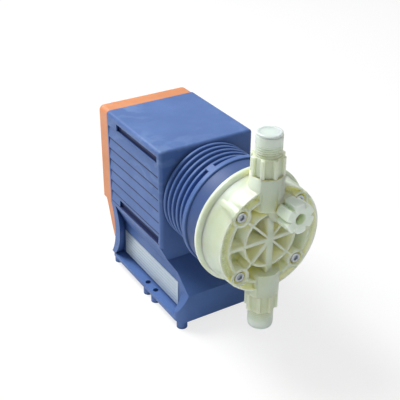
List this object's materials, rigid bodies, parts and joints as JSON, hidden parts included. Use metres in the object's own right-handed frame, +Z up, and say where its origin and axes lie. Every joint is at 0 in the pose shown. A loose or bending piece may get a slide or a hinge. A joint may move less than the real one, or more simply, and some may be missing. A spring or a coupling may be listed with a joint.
{
  "type": "solenoid diaphragm metering pump",
  "caption": "Solenoid-driven diaphragm metering pump: finned drive housing on a raised foot, round plastics dosing head with threaded suction and discharge ports and a bleed knob.",
  "frame": {"origin": "centre of the four foot holes, on the surface that the pump stands on", "axes": "+Z up; -Y towards the dosing head, +Y towards the operating panel; X across the pump"},
  "size_m": [0.1014, 0.248, 0.2028],
  "materials": {
    "blue_moulding": "satin, fine moulded texture",
    "orange_moulding": "satin, fine moulded texture",
    "natural_pp": "translucent natural polypropylene",
    "white_plug": "satin",
    "white_ptfe": "satin",
    "black_plastic": "fine moulded texture",
    "black_rubber": "matt",
    "silver_plate": "brushed, bare",
    "steel": "stainless, satin",
    "zinc_steel": "zinc plated",
    "brass": "turned",
    "copper": "varnished winding wire",
    "ceramic": "ground ceramic",
    "dial_foil": "printed foil",
    "lens": "coloured lens",
    "board_green": "solder resist"
  },
  "bodies": {
    "pump": {"housing": "blue_moulding", "rear_cover": "orange_moulding", "cover_gasket": "black_rubber", "cover_screws": "steel", "rating_plate": "silver_plate", "yoke_shell": "zinc_steel", "yoke_end_plate": "zinc_steel", "pole_core": "zinc_steel", "guide_tube": "brass", "coil_bobbin": "black_plastic", "coil_winding": "copper", "rod_bush": "brass", "backplate": "natural_pp", "dosing_head": "natural_pp", "head_bolts": "steel", "head_washers": "steel", "drum_inserts": "brass", "discharge_valve_body": "natural_pp", "suction_valve_body": "natural_pp", "discharge_seal": "black_rubber", "suction_seal": "black_rubber", "discharge_plug": "white_plug", "suction_plug": "white_plug", "discharge_valve_seat": "white_ptfe", "suction_valve_seat": "white_ptfe", "suction_ball_cage": "natural_pp", "stroke_dial": "dial_foil", "rate_switch": "black_plastic", "status_lenses": "lens", "signal_sockets": "black_plastic", "socket_caps": "black_plastic", "cable_gland": "black_plastic", "gland_nut": "black_plastic", "circuit_board": "board_green", "board_components": "black_plastic"},
    "drive": {"armature": "steel", "thrust_rod": "steel", "diaphragm_core": "steel", "diaphragm": "white_ptfe", "return_spring": "steel"},
    "stroke_adjuster": {"stroke_spindle": "brass", "stroke_knob": "black_plastic"},
    "rate_selector": {"rate_shaft": "steel", "rate_knob": "black_plastic"},
    "bleed_lift": {"bleed_seal": "black_rubber"},
    "bleed_screw": {"bleed_knob": "natural_pp", "bleed_spindle": "natural_pp"},
    "suction_ball": {"suction_ball": "ceramic"},
    "discharge_ball": {"discharge_ball": "ceramic"}
  },
  "joints": [
    {"name": "pumping_stroke", "type": "slide", "parent": "pump", "child": "drive", "axis": [0, -1, 0], "range_m": [0, 0.00125], "stiffness_N_per_m": 4000, "springref_m": -0.001, "deforming": ["return_spring", "diaphragm"]},
    {"name": "stroke_length", "type": "hinge", "parent": "pump", "child": "stroke_adjuster", "pos_m": [0, 0.088, 0.1145], "axis": [0, 1, 0], "range_deg": [0, 300]},
    {"name": "stroke_rate", "type": "hinge", "parent": "pump", "child": "rate_selector", "pos_m": [-0.024, 0.088, 0.1445], "axis": [0, 1, 0], "range_deg": [0, 270]},
    {"name": "bleed_rise", "type": "slide", "parent": "pump", "child": "bleed_lift", "axis": [0, -1, 0], "range_m": [0, 0.0015]},
    {"name": "bleed_turn", "type": "hinge", "parent": "bleed_lift", "child": "bleed_screw", "pos_m": [0.011, -0.127, 0.14], "axis": [0, -1, 0], "range_deg": [0, 360.01]},
    {"name": "suction_ball_lift", "type": "slide", "parent": "pump", "child": "suction_ball", "axis": [0, 0, 1], "range_m": [0, 0.0015]},
    {"name": "discharge_ball_lift", "type": "slide", "parent": "pump", "child": "discharge_ball", "axis": [0, 0, 1], "range_m": [0, 0.0015]}
  ],
  "couplings": [
    {"joint": "bleed_turn", "follows": "bleed_rise", "rad_per_m": 4188.8}
  ]
}
